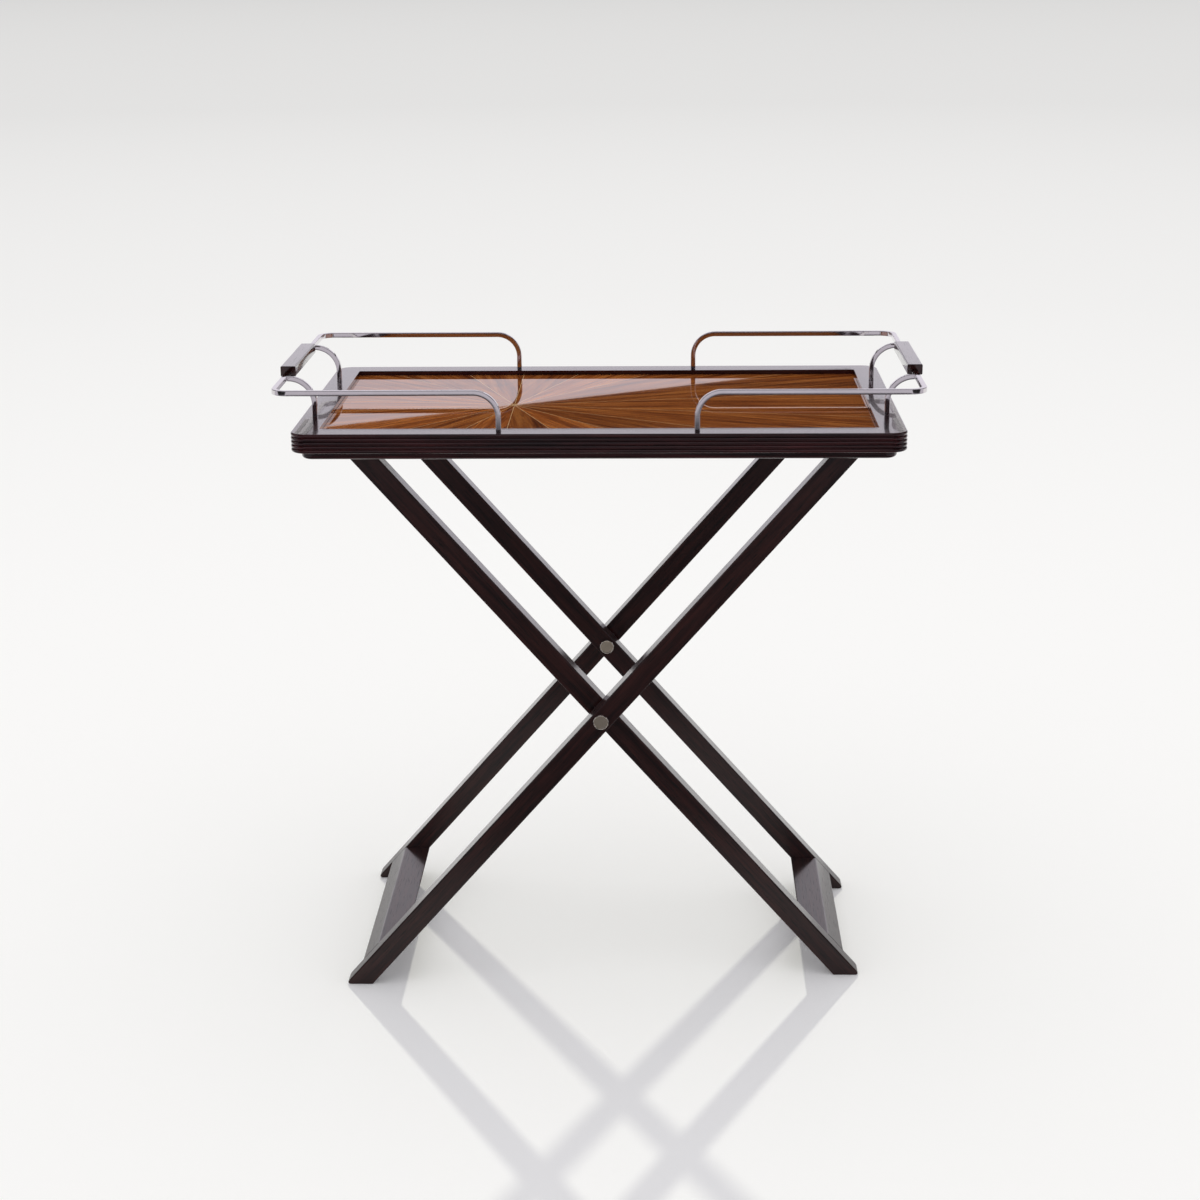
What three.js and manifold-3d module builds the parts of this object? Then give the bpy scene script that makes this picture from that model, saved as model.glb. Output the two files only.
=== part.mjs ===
// A folding serving table: a reeded tray with bent metal rails and wood grips, on an X stand.
// Millimetres, +Z up, +X along the tray. The origin is on the floor, under the middle of the tray.
import * as THREE from "three";
import { mergeVertices } from "three/addons/utils/BufferGeometryUtils.js";
import Module from "manifold-3d";

const wasm = await Module();
wasm.setup();

// Stand
const STAND_HEIGHT = 668;
const PIVOT_HEIGHT = 344.3;
const LEG_SPREAD = 566.8;
const LEG_WIDTH = 25.2;
const LEG_THICKNESS = 23.7;
const LEG_EDGE = 1.4;
const LEG_GAP = 7.6;
const STAND_DEPTH = 346;
const TOE_ROUND = 8;
const STRETCHER_FLOOR = 22.4;
const STRETCHER_HEIGHT = 23;
const TOP_RAIL_HEIGHT = 9;
const STRETCHER_EDGE = 1.6;
const TENON_LENGTH = 14;
const TENON_WIDTH = 12;
const TENON_HEIGHT = 13;
const TOP_TENON_HEIGHT = 5;

// Pivots
const BOLT_DIAMETER = 8;
const BOLT_CLEARANCE = 0.3;
const SPACER_DIAMETER = 22;
const CAP_DIAMETER = 18.4;
const CAP_HEIGHT = 3;
const CAP_RIM_WIDTH = 2;
const CAP_DISH = 0.8;
const CAP_EDGE = 0.7;

// Tray
const TRAY_LENGTH = 700;
const TRAY_DEPTH = 413;
const RIM_WIDTH = 31;
const RIM_HEIGHT = 22.4;
const REED_COUNT = 5;
const REED_DEPTH = 1.7;
const CORNER_RADIUS = 20;
const RECESS_DEPTH = 5.5;
const VENEER_THICKNESS = 1;
const BASE_HEIGHT = 9;
const BASE_INSET = 11;
const BASE_CORNER_RADIUS = 14;
const BASE_EDGE = 4;
const CLEAT_LENGTH = 220;
const CLEAT_WIDTH = 14;
const CLEAT_HEIGHT = 8;
const CLEAT_CLEARANCE = 0.6;
const CLEAT_SCREW_SPACING = 160;

// Rails, arches and grips
const BAR_SIZE = 6;
const BAR_EDGE = 0.6;
const RAIL_RISE = 47.5;
const RAIL_OVERHANG = 21.5;
const RAIL_POST_SPACING = 225;
const RAIL_BEND = 28;
const RAIL_CORNER = 17;
const ARCH_SPACING = 205;
const ARCH_STRAIGHT = 0.7;
const GRIP_LENGTH = 154;
const GRIP_WIDTH = 18;
const GRIP_HEIGHT = 12.5;
const GRIP_EDGE = 1.5;
const GRIP_SCREW_SPACING = 100;

// Screws
const POST_SCREW_DIAMETER = 3.5;
const POST_SCREW_REACH = 10;
const POST_HEAD_DIAMETER = 7;
const POST_HEAD_HEIGHT = 3;
const SMALL_SCREW_DIAMETER = 2.4;
const SMALL_HEAD_DIAMETER = 4.4;
const SMALL_HEAD_HEIGHT = 1.3;
const GRIP_SCREW_LENGTH = 10;
const CLEAT_SCREW_LENGTH = 13;

// Between neighbours, and past a face that is cut
const SEAT_GAP = 0.3;
const OVERRUN = 2;

// Smoothness
const ROUND_SIDES = 24;
const SCREW_SIDES = 12;
const CORNER_SIDES = 40;
const REED_STEPS = 4;
const BEND_STEPS = 7;
const EDGE_STEPS = 2;
const TOE_STEPS = 4;

// Levels and places that follow from the sizes above
const TRAY_UNDERSIDE = STAND_HEIGHT + SEAT_GAP;
const BASE_TOP = TRAY_UNDERSIDE + BASE_HEIGHT;
const RIM_UNDERSIDE = BASE_TOP + SEAT_GAP;
const RIM_TOP = RIM_UNDERSIDE + RIM_HEIGHT;
const PANEL_TOP = RIM_TOP - RECESS_DEPTH;
const WELL_LENGTH = TRAY_LENGTH - 2 * RIM_WIDTH;
const WELL_DEPTH = TRAY_DEPTH - 2 * RIM_WIDTH;
const RAIL_AXIS_Z = RIM_TOP + RAIL_RISE - BAR_SIZE / 2;
const POST_Y = (TRAY_DEPTH - RIM_WIDTH) / 2;
const ARCH_FOOT_X = (TRAY_LENGTH - RIM_WIDTH) / 2;
const END_BAR_X = TRAY_LENGTH / 2 + RAIL_OVERHANG - BAR_SIZE / 2;
const ARCH_START_X = END_BAR_X - BAR_SIZE / 2 - SEAT_GAP;
const ARCH_BEND = ARCH_START_X - ARCH_FOOT_X - ARCH_STRAIGHT;
const OUTER_LEG_Y = (STAND_DEPTH - LEG_THICKNESS) / 2;
const INNER_LEG_Y = OUTER_LEG_Y - LEG_THICKNESS - LEG_GAP;
const LEG_SLANT = Math.atan2(LEG_SPREAD / 2, STAND_HEIGHT - PIVOT_HEIGHT);
const LEG_HALF_SPAN = LEG_WIDTH / 2 / Math.cos(LEG_SLANT);

// Finishes
const EBONISED_WOOD = new THREE.MeshStandardMaterial({ color: 0x1c1311, roughness: 0.45 });
const LACQUERED_RIM = new THREE.MeshStandardMaterial({ color: 0x170a0c, roughness: 0.08 });
const BOARD_WOOD = new THREE.MeshStandardMaterial({ color: 0x6b4a30, roughness: 0.7 });
const WALNUT_VENEER = new THREE.MeshStandardMaterial({ color: 0x6e3b1d, roughness: 0.12 });
const POLISHED_METAL = new THREE.MeshStandardMaterial({ color: 0xd8d6da, roughness: 0.08, metalness: 1 });
const AGED_METAL = new THREE.MeshStandardMaterial({ color: 0xa08f78, roughness: 0.3, metalness: 1 });
const STEEL = new THREE.MeshStandardMaterial({ color: 0x9a9a9c, roughness: 0.4, metalness: 1 });

const table = new THREE.Group();
const outerFrame = new THREE.Group();
const innerFrame = new THREE.Group();
const tray = new THREE.Group();
table.add(outerFrame, innerFrame, tray);

// Adds one named piece to a group. Its geometry is already in the table's frame.
function place(group, name, geometry, material) {
  const mesh = new THREE.Mesh(geometry, material);
  mesh.name = name;
  group.add(mesh);
}

// A closed geometry as a solid that can be joined and cut.
function toSolid(geometry) {
  const bare = geometry.clone();
  bare.deleteAttribute("normal");
  bare.deleteAttribute("uv");
  const merged = mergeVertices(bare, 1e-4);
  return new wasm.Manifold(
    new wasm.Mesh({
      numProp: 3,
      vertProperties: new Float32Array(merged.attributes.position.array),
      triVerts: new Uint32Array(merged.index.array),
    }),
  );
}

function toGeometry(solid) {
  const mesh = solid.getMesh();
  const geometry = new THREE.BufferGeometry();
  geometry.setAttribute("position", new THREE.BufferAttribute(mesh.vertProperties, 3));
  geometry.setIndex(new THREE.BufferAttribute(mesh.triVerts, 1));
  return geometry;
}

// A base geometry with others joined to it, and then others cut out of it.
function carve(base, { join = [], cut = [], within = null }) {
  let solid = toSolid(base);
  for (const geometry of join) solid = solid.add(toSolid(geometry));
  if (within) solid = solid.intersect(toSolid(within));
  for (const geometry of cut) solid = solid.subtract(toSolid(geometry));
  return toGeometry(solid);
}

// A box between two corners.
function block(low, high) {
  const size = high.clone().sub(low);
  const middle = low.clone().add(high).multiplyScalar(0.5);
  return new THREE.BoxGeometry(size.x, size.y, size.z).translate(middle.x, middle.y, middle.z);
}

// An outline of straight edges with each corner rounded off.
function roundedOutline(corners, radius) {
  const outline = new THREE.Shape();
  corners.forEach((corner, i) => {
    const before = corners[(i + corners.length - 1) % corners.length];
    const after = corners[(i + 1) % corners.length];
    const start = before.clone().sub(corner).setLength(radius).add(corner);
    const end = after.clone().sub(corner).setLength(radius).add(corner);
    if (i === 0) outline.moveTo(start.x, start.y);
    else outline.lineTo(start.x, start.y);
    outline.quadraticCurveTo(corner.x, corner.y, end.x, end.y);
  });
  outline.closePath();
  return outline;
}

function rectangleCorners(width, height) {
  return [
    new THREE.Vector2(-width / 2, -height / 2),
    new THREE.Vector2(width / 2, -height / 2),
    new THREE.Vector2(width / 2, height / 2),
    new THREE.Vector2(-width / 2, height / 2),
  ];
}

// A prism along Y whose outline is drawn in x and z, centred on a y.
function prismAlongY(outline, length, y, bevel = 0, curveSegments = EDGE_STEPS) {
  const geometry = new THREE.ExtrudeGeometry(outline, {
    depth: length - 2 * bevel,
    curveSegments,
    bevelEnabled: bevel > 0,
    bevelThickness: bevel,
    bevelSize: bevel,
    bevelOffset: -bevel,
    bevelSegments: EDGE_STEPS,
  });
  return geometry.rotateX(Math.PI / 2).translate(0, y + length / 2 - bevel, 0);
}

// A rod along Y between two y, on an axis at x and z.
function rodAlongY(diameter, fromY, toY, x, z, sides = ROUND_SIDES) {
  const rod = new THREE.CylinderGeometry(diameter / 2, diameter / 2, toY - fromY, sides);
  return rod.translate(x, (fromY + toY) / 2, z);
}

// A rod along Z between two z.
function rodAlongZ(diameter, fromZ, toZ, x, y, sides = SCREW_SIDES) {
  const rod = new THREE.CylinderGeometry(diameter / 2, diameter / 2, toZ - fromZ, sides);
  return rod.rotateX(Math.PI / 2).translate(x, y, (fromZ + toZ) / 2);
}

// A screw that points up: the underside of its head is at z.
function screw(shankDiameter, length, headDiameter, headHeight, x, y, z) {
  const profile = [
    new THREE.Vector2(0, -headHeight),
    new THREE.Vector2(headDiameter / 2, -headHeight),
    new THREE.Vector2(headDiameter / 2, 0),
    new THREE.Vector2(shankDiameter / 2, 0),
    new THREE.Vector2(shankDiameter / 2, length - shankDiameter / 2),
    new THREE.Vector2(0, length),
  ];
  const turned = new THREE.LatheGeometry(profile, SCREW_SIDES);
  return turned.rotateX(Math.PI / 2).translate(x, y, z);
}

// Straight runs joined by round bends. Its stations lie only where the bar starts, turns or ends.
class BarPath extends THREE.Curve {
  constructor(corners, radii) {
    super();
    this.points = [];
    this.tangents = [];
    const last = corners.length - 1;
    const direction = (i) => corners[i + 1].clone().sub(corners[i]).normalize();
    this.addStation(corners[0], direction(0));
    for (let i = 1; i < last; i += 1) {
      this.addBend(corners[i], direction(i - 1), direction(i), radii[i - 1]);
    }
    this.addStation(corners[last], direction(last - 1));
  }

  addStation(point, tangent) {
    this.points.push(point.clone());
    this.tangents.push(tangent.clone());
  }

  // A quarter turn from one direction to the next, inside the corner.
  addBend(corner, into, out, radius) {
    const centre = corner.clone().addScaledVector(into, -radius).addScaledVector(out, radius);
    for (let step = 0; step <= BEND_STEPS; step += 1) {
      const angle = ((Math.PI / 2) * step) / BEND_STEPS;
      const point = centre.clone();
      point.addScaledVector(out, -radius * Math.cos(angle));
      point.addScaledVector(into, radius * Math.sin(angle));
      const tangent = into.clone().multiplyScalar(Math.cos(angle)).addScaledVector(out, Math.sin(angle));
      this.addStation(point, tangent);
    }
  }

  get steps() {
    return this.points.length - 1;
  }

  between(values, share) {
    const place = Math.min(share * this.steps, this.steps);
    const before = Math.min(Math.floor(place), this.steps - 1);
    return values[before].clone().lerp(values[before + 1], place - before);
  }

  getPoint(share) {
    return this.between(this.points, share);
  }

  getPointAt(share) {
    return this.getPoint(share);
  }

  getTangentAt(share) {
    return this.between(this.tangents, share).normalize();
  }
}

// A square bar with eased edges, bent along a path.
function bentBar(path) {
  const corners = [];
  const half = BAR_SIZE / 2;
  const flat = half - BAR_EDGE;
  for (const [x, y] of [[-1, -1], [1, -1], [1, 1], [-1, 1]]) {
    const ends = [new THREE.Vector2(x * half, y * flat), new THREE.Vector2(x * flat, y * half)];
    corners.push(...(x * y > 0 ? ends : ends.reverse()));
  }
  return new THREE.ExtrudeGeometry(new THREE.Shape(corners), {
    steps: path.steps,
    extrudePath: path,
    bevelEnabled: false,
  });
}

// Where a leg's middle line is at a height. lean is 1 where the leg rises towards +X, and -1 where it falls.
function legX(lean, z) {
  return lean * (z - PIVOT_HEIGHT) * Math.tan(LEG_SLANT);
}

// A slanting leg, cut level at the floor and under the tray, with a rounded toe.
function leg(lean, y, insideSign) {
  const bottomX = legX(lean, 0);
  const topX = legX(lean, STAND_HEIGHT);
  const toe = new THREE.Vector2(bottomX - lean * LEG_HALF_SPAN, 0);
  const topOfToeSide = new THREE.Vector2(topX - lean * LEG_HALF_SPAN, STAND_HEIGHT);
  const aboveToe = topOfToeSide.clone().sub(toe).setLength(TOE_ROUND).add(toe);
  const outline = new THREE.Shape();
  outline.moveTo(aboveToe.x, aboveToe.y);
  outline.quadraticCurveTo(toe.x, toe.y, toe.x + lean * TOE_ROUND, toe.y);
  outline.lineTo(bottomX + lean * LEG_HALF_SPAN, 0);
  outline.lineTo(topX + lean * LEG_HALF_SPAN, STAND_HEIGHT);
  outline.lineTo(topOfToeSide.x, topOfToeSide.y);
  outline.closePath();
  const body = prismAlongY(outline, LEG_THICKNESS, y, LEG_EDGE, TOE_STEPS);
  const half = LEG_THICKNESS / 2 + OVERRUN;
  const hole = rodAlongY(BOLT_DIAMETER + 2 * BOLT_CLEARANCE, y - half, y + half, 0, PIVOT_HEIGHT);
  const insideY = y + (insideSign * LEG_THICKNESS) / 2;
  const depth = TENON_LENGTH + SEAT_GAP;
  const lowMortise = tenon(lean, lowerCrossZ(), TENON_HEIGHT, insideY, -insideSign, depth, SEAT_GAP);
  const topMortise = tenon(lean, upperCrossZ(), TOP_TENON_HEIGHT, insideY, -insideSign, depth, SEAT_GAP);
  return carve(body, { cut: [hole, lowMortise, topMortise] });
}

// The middle heights of the bottom stretcher and of the top rail.
function lowerCrossZ() {
  return STRETCHER_FLOOR + STRETCHER_HEIGHT / 2;
}

function upperCrossZ() {
  return STAND_HEIGHT - TOP_RAIL_HEIGHT / 2;
}

// A tenon that leaves a face at y in the direction of sign, or its mortise where it has room all round.
function tenon(lean, z, height, y, sign, length, room) {
  const x = legX(lean, z);
  const low = new THREE.Vector3(x - TENON_WIDTH / 2 - room, y - OVERRUN, z - height / 2 - room);
  const high = new THREE.Vector3(x + TENON_WIDTH / 2 + room, y + length, z + height / 2 + room);
  if (sign < 0) {
    low.y = y - length;
    high.y = y + OVERRUN;
  }
  return block(low, high);
}

// A stretcher or top rail between two legs: its narrow sides run on from theirs, its top and bottom are level.
function crossPiece(lean, z, height, tenonHeight, legY) {
  const lowX = legX(lean, z - height / 2);
  const highX = legX(lean, z + height / 2);
  const corners = [
    new THREE.Vector2(lowX - LEG_HALF_SPAN, z - height / 2),
    new THREE.Vector2(lowX + LEG_HALF_SPAN, z - height / 2),
    new THREE.Vector2(highX + LEG_HALF_SPAN, z + height / 2),
    new THREE.Vector2(highX - LEG_HALF_SPAN, z + height / 2),
  ];
  const length = 2 * legY - LEG_THICKNESS - 2 * SEAT_GAP;
  const body = prismAlongY(roundedOutline(corners, STRETCHER_EDGE), length, 0);
  const tenons = [-1, 1].map((sign) => tenon(lean, z, tenonHeight, (sign * length) / 2, sign, TENON_LENGTH, 0));
  return carve(body, { join: tenons });
}

// One frame of the X: two legs, a bottom stretcher and a top rail.
function addFrame(group, name, lean, legY) {
  place(group, `${name}_leg_front`, leg(lean, -legY, 1), EBONISED_WOOD);
  place(group, `${name}_leg_back`, leg(lean, legY, -1), EBONISED_WOOD);
  const stretcher = crossPiece(lean, lowerCrossZ(), STRETCHER_HEIGHT, TENON_HEIGHT, legY);
  place(group, `${name}_bottom_stretcher`, stretcher, EBONISED_WOOD);
  const topRail = crossPiece(lean, upperCrossZ(), TOP_RAIL_HEIGHT, TOP_TENON_HEIGHT, legY);
  place(group, `${name}_top_rail`, topRail, EBONISED_WOOD);
}

// A round cap with a raised rim and a shallow dish, on a leg's face at y, facing the way of sign.
function pivotCap(y, sign) {
  const radius = CAP_DIAMETER / 2;
  const profile = [
    new THREE.Vector2(0, 0),
    new THREE.Vector2(radius, 0),
    new THREE.Vector2(radius, CAP_HEIGHT - CAP_EDGE),
    new THREE.Vector2(radius - CAP_EDGE, CAP_HEIGHT),
    new THREE.Vector2(radius - CAP_RIM_WIDTH + CAP_EDGE, CAP_HEIGHT),
    new THREE.Vector2(radius - CAP_RIM_WIDTH, CAP_HEIGHT - CAP_DISH),
    new THREE.Vector2(0, CAP_HEIGHT - CAP_DISH),
  ];
  const cap = new THREE.LatheGeometry(profile, ROUND_SIDES);
  if (sign < 0) cap.rotateX(Math.PI);
  return cap.translate(0, y + sign * SEAT_GAP, PIVOT_HEIGHT);
}

// The ring between an outer and an inner leg.
function pivotSpacer(y) {
  const length = LEG_GAP - 2 * SEAT_GAP;
  const inner = BOLT_DIAMETER / 2 + BOLT_CLEARANCE;
  const outer = SPACER_DIAMETER / 2;
  const profile = [
    new THREE.Vector2(inner, -length / 2),
    new THREE.Vector2(outer, -length / 2),
    new THREE.Vector2(outer, length / 2),
    new THREE.Vector2(inner, length / 2),
    new THREE.Vector2(inner, -length / 2),
  ];
  return new THREE.LatheGeometry(profile, ROUND_SIDES).translate(0, y, PIVOT_HEIGHT);
}

// One pivot: a bolt through an outer and an inner leg, a ring between them, a cap at each end.
function addPivot(name, side) {
  const outerFace = side * (OUTER_LEG_Y + LEG_THICKNESS / 2);
  const innerFace = side * (INNER_LEG_Y - LEG_THICKNESS / 2);
  const from = Math.min(outerFace, innerFace);
  const to = Math.max(outerFace, innerFace);
  place(outerFrame, `pivot_bolt_${name}`, rodAlongY(BOLT_DIAMETER, from, to, 0, PIVOT_HEIGHT), STEEL);
  const spacerY = side * (OUTER_LEG_Y - (LEG_THICKNESS + LEG_GAP) / 2);
  place(outerFrame, `pivot_spacer_${name}`, pivotSpacer(spacerY), STEEL);
  place(outerFrame, `pivot_cap_${name}_outer`, pivotCap(outerFace, side), AGED_METAL);
  place(outerFrame, `pivot_cap_${name}_inner`, pivotCap(innerFace, -side), AGED_METAL);
}

// The section of the rim moulding: out from the well's wall, up from its underside, with round reeds outside.
function rimSection() {
  const pitch = RIM_HEIGHT / REED_COUNT;
  const root = RIM_WIDTH - REED_DEPTH;
  const points = [new THREE.Vector2(0, RIM_HEIGHT), new THREE.Vector2(0, 0), new THREE.Vector2(root, 0)];
  for (let reed = 0; reed < REED_COUNT; reed += 1) {
    const middle = pitch * (reed + 0.5);
    for (let step = 1; step <= REED_STEPS; step += 1) {
      const angle = Math.PI * (step / REED_STEPS - 0.5);
      const out = root + REED_DEPTH * Math.cos(angle);
      points.push(new THREE.Vector2(out, middle + (pitch / 2) * Math.sin(angle)));
    }
  }
  return points;
}

// The rounded end of the moulding: the outer part of its section, turned about the tray's corner centre.
function rimCorner() {
  const inset = RIM_WIDTH - CORNER_RADIUS;
  const turned = rimSection().slice(2).map((point) => new THREE.Vector2(point.x - inset, point.y));
  const profile = [new THREE.Vector2(0, 0), ...turned, new THREE.Vector2(0, RIM_HEIGHT)];
  return new THREE.LatheGeometry(profile, CORNER_SIDES).rotateX(Math.PI / 2);
}

// One side of the rim, along X with its outside towards -Y, mitred at both ends.
function rimSide(length, depth) {
  const straight = length - 2 * CORNER_RADIUS;
  const bar = new THREE.ExtrudeGeometry(new THREE.Shape(rimSection()), { depth: straight, bevelEnabled: false });
  // The section's width turns to -Y, its height to +Z, and its length to X.
  const turn = new THREE.Matrix4().makeBasis(
    new THREE.Vector3(0, -1, 0),
    new THREE.Vector3(0, 0, 1),
    new THREE.Vector3(-1, 0, 0),
  );
  bar.applyMatrix4(turn).translate(straight / 2, RIM_WIDTH - depth / 2, 0);
  const cornerY = CORNER_RADIUS - depth / 2;
  const corners = [-1, 1].map((sign) => rimCorner().translate((sign * straight) / 2, cornerY, 0));
  const reach = OVERRUN;
  const half = length / 2 - SEAT_GAP / 2;
  const mitred = new THREE.Shape([
    new THREE.Vector2(-half - reach, -depth / 2 - reach),
    new THREE.Vector2(half + reach, -depth / 2 - reach),
    new THREE.Vector2(half - RIM_WIDTH, RIM_WIDTH - depth / 2),
    new THREE.Vector2(RIM_WIDTH - half, RIM_WIDTH - depth / 2),
  ]);
  const within = new THREE.ExtrudeGeometry(mitred, { depth: RIM_HEIGHT + 2 * OVERRUN, bevelEnabled: false });
  return { base: bar, join: corners, within: within.translate(0, 0, -OVERRUN) };
}

// The places of the eight upright bars on the rim: four rail posts and four arch feet.
const uprights = [];
for (const [sideName, sideX] of [["left", -1], ["right", 1]]) {
  for (const [endName, endY] of [["front", -1], ["back", 1]]) {
    const postX = (sideX * RAIL_POST_SPACING) / 2;
    const archY = (endY * ARCH_SPACING) / 2;
    uprights.push({ name: `rail_${sideName}_${endName}`, x: postX, y: endY * POST_Y });
    uprights.push({ name: `arch_${sideName}_${endName}`, x: sideX * ARCH_FOOT_X, y: archY });
  }
}

// The holes for a screw that comes up through the rim, and for its head.
function uprightHoles({ x, y }) {
  const headRoom = POST_HEAD_HEIGHT + 2 * SEAT_GAP;
  const shankTop = RIM_TOP + OVERRUN;
  return [
    rodAlongZ(POST_SCREW_DIAMETER + 2 * SEAT_GAP, RIM_UNDERSIDE, shankTop, x, y),
    rodAlongZ(POST_HEAD_DIAMETER + 2 * SEAT_GAP, RIM_UNDERSIDE - OVERRUN, RIM_UNDERSIDE + headRoom, x, y),
  ];
}

// The blind hole in the foot of a post or an arch.
function footHole({ x, y }) {
  const top = RIM_TOP + SEAT_GAP + POST_SCREW_REACH + SEAT_GAP;
  return rodAlongZ(POST_SCREW_DIAMETER + 2 * SEAT_GAP, RIM_TOP - OVERRUN, top, x, y);
}

function addRim() {
  const sides = [
    ["front", TRAY_LENGTH, TRAY_DEPTH, 0],
    ["right", TRAY_DEPTH, TRAY_LENGTH, Math.PI / 2],
    ["back", TRAY_LENGTH, TRAY_DEPTH, Math.PI],
    ["left", TRAY_DEPTH, TRAY_LENGTH, -Math.PI / 2],
  ];
  for (const [name, length, depth, angle] of sides) {
    const { base, join, within } = rimSide(length, depth);
    const shaped = carve(base, { join, within }).rotateZ(angle).translate(0, 0, RIM_UNDERSIDE);
    const holes = uprights.flatMap(uprightHoles);
    place(tray, `rim_${name}`, carve(shaped, { cut: holes }), LACQUERED_RIM);
  }
}

// The board under the rim, inset, with rounded corners and a rounded lower edge.
function trayBase() {
  const length = TRAY_LENGTH - 2 * BASE_INSET;
  const depth = TRAY_DEPTH - 2 * BASE_INSET;
  const outline = roundedRectangle(length, depth, BASE_CORNER_RADIUS);
  const tall = new THREE.ExtrudeGeometry(outline, {
    depth: BASE_HEIGHT,
    curveSegments: BEND_STEPS,
    bevelThickness: BASE_EDGE,
    bevelSize: BASE_EDGE,
    bevelOffset: -BASE_EDGE,
    bevelSegments: REED_STEPS,
  }).translate(0, 0, TRAY_UNDERSIDE + BASE_EDGE);
  const low = new THREE.Vector3(-TRAY_LENGTH / 2, -TRAY_DEPTH / 2, TRAY_UNDERSIDE - OVERRUN);
  const high = new THREE.Vector3(TRAY_LENGTH / 2, TRAY_DEPTH / 2, BASE_TOP);
  return carve(tall, { within: block(low, high), cut: cleatScrewPlaces().map(cleatScrewHole) });
}

function roundedRectangle(width, height, radius) {
  const outline = new THREE.Shape();
  const x = width / 2 - radius;
  const y = height / 2 - radius;
  outline.absarc(x, y, radius, 0, Math.PI / 2);
  outline.absarc(-x, y, radius, Math.PI / 2, Math.PI);
  outline.absarc(-x, -y, radius, Math.PI, 1.5 * Math.PI);
  outline.absarc(x, -y, radius, 1.5 * Math.PI, 2 * Math.PI);
  return outline;
}

// A board that fills the well between two heights.
function wellBoard(fromZ, toZ) {
  const x = WELL_LENGTH / 2 - SEAT_GAP;
  const y = WELL_DEPTH / 2 - SEAT_GAP;
  return block(new THREE.Vector3(-x, -y, fromZ), new THREE.Vector3(x, y, toZ));
}

// The middle of a cleat, just outside the top corner of the top rail on its side.
function cleatX(side) {
  const railCorner = legX(1, STAND_HEIGHT) + LEG_HALF_SPAN;
  return side * (railCorner + CLEAT_CLEARANCE + CLEAT_WIDTH / 2);
}

function cleatScrewPlaces() {
  return [-1, 1].flatMap((side) =>
    [-1, 1].map((end) => ({ side, end, x: cleatX(side), y: (end * CLEAT_SCREW_SPACING) / 2 })),
  );
}

// The room for a cleat screw, in the cleat and on into the base.
function cleatScrewHole({ x, y }) {
  const bottom = TRAY_UNDERSIDE - SEAT_GAP - CLEAT_HEIGHT;
  const tip = bottom + SMALL_HEAD_HEIGHT + CLEAT_SCREW_LENGTH;
  return rodAlongZ(SMALL_SCREW_DIAMETER + 2 * SEAT_GAP, bottom - OVERRUN, tip + SEAT_GAP, x, y);
}

function addCleats() {
  const top = TRAY_UNDERSIDE - SEAT_GAP;
  const bottom = top - CLEAT_HEIGHT;
  const headTop = bottom + SMALL_HEAD_HEIGHT;
  for (const [name, side] of [["left", -1], ["right", 1]]) {
    const outline = roundedOutline(rectangleCorners(CLEAT_WIDTH, CLEAT_HEIGHT), STRETCHER_EDGE);
    const batten = prismAlongY(outline, CLEAT_LENGTH, 0).translate(cleatX(side), 0, (top + bottom) / 2);
    const screws = cleatScrewPlaces().filter((at) => at.side === side);
    const headHoles = screws.map(({ x, y }) =>
      rodAlongZ(SMALL_HEAD_DIAMETER + 2 * SEAT_GAP, bottom - OVERRUN, headTop + SEAT_GAP, x, y),
    );
    place(tray, `tray_cleat_${name}`, carve(batten, { cut: [...headHoles, ...screws.map(cleatScrewHole)] }), EBONISED_WOOD);
    for (const { end, x, y } of screws) {
      const shape = screw(SMALL_SCREW_DIAMETER, CLEAT_SCREW_LENGTH, SMALL_HEAD_DIAMETER, SMALL_HEAD_HEIGHT, x, y, headTop);
      place(tray, `cleat_screw_${name}_${end < 0 ? "front" : "back"}`, shape, STEEL);
    }
  }
}

// One rail: up from its front post, out over the end of the tray, round and down its back post.
function railPath(side) {
  const postX = (side * RAIL_POST_SPACING) / 2;
  const endX = side * END_BAR_X;
  const foot = RIM_TOP + SEAT_GAP;
  return new BarPath(
    [
      new THREE.Vector3(postX, -POST_Y, foot),
      new THREE.Vector3(postX, -POST_Y, RAIL_AXIS_Z),
      new THREE.Vector3(endX, -POST_Y, RAIL_AXIS_Z),
      new THREE.Vector3(endX, POST_Y, RAIL_AXIS_Z),
      new THREE.Vector3(postX, POST_Y, RAIL_AXIS_Z),
      new THREE.Vector3(postX, POST_Y, foot),
    ],
    [RAIL_BEND, RAIL_CORNER, RAIL_CORNER, RAIL_BEND],
  );
}

// A quarter-round prop, from the inside of a rail's end bar down to the middle of the rim.
function archPath(side, y) {
  const startX = side * ARCH_START_X;
  const footX = side * ARCH_FOOT_X;
  return new BarPath(
    [
      new THREE.Vector3(startX, y, RAIL_AXIS_Z),
      new THREE.Vector3(footX, y, RAIL_AXIS_Z),
      new THREE.Vector3(footX, y, RIM_TOP + SEAT_GAP),
    ],
    [ARCH_BEND],
  );
}

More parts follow.
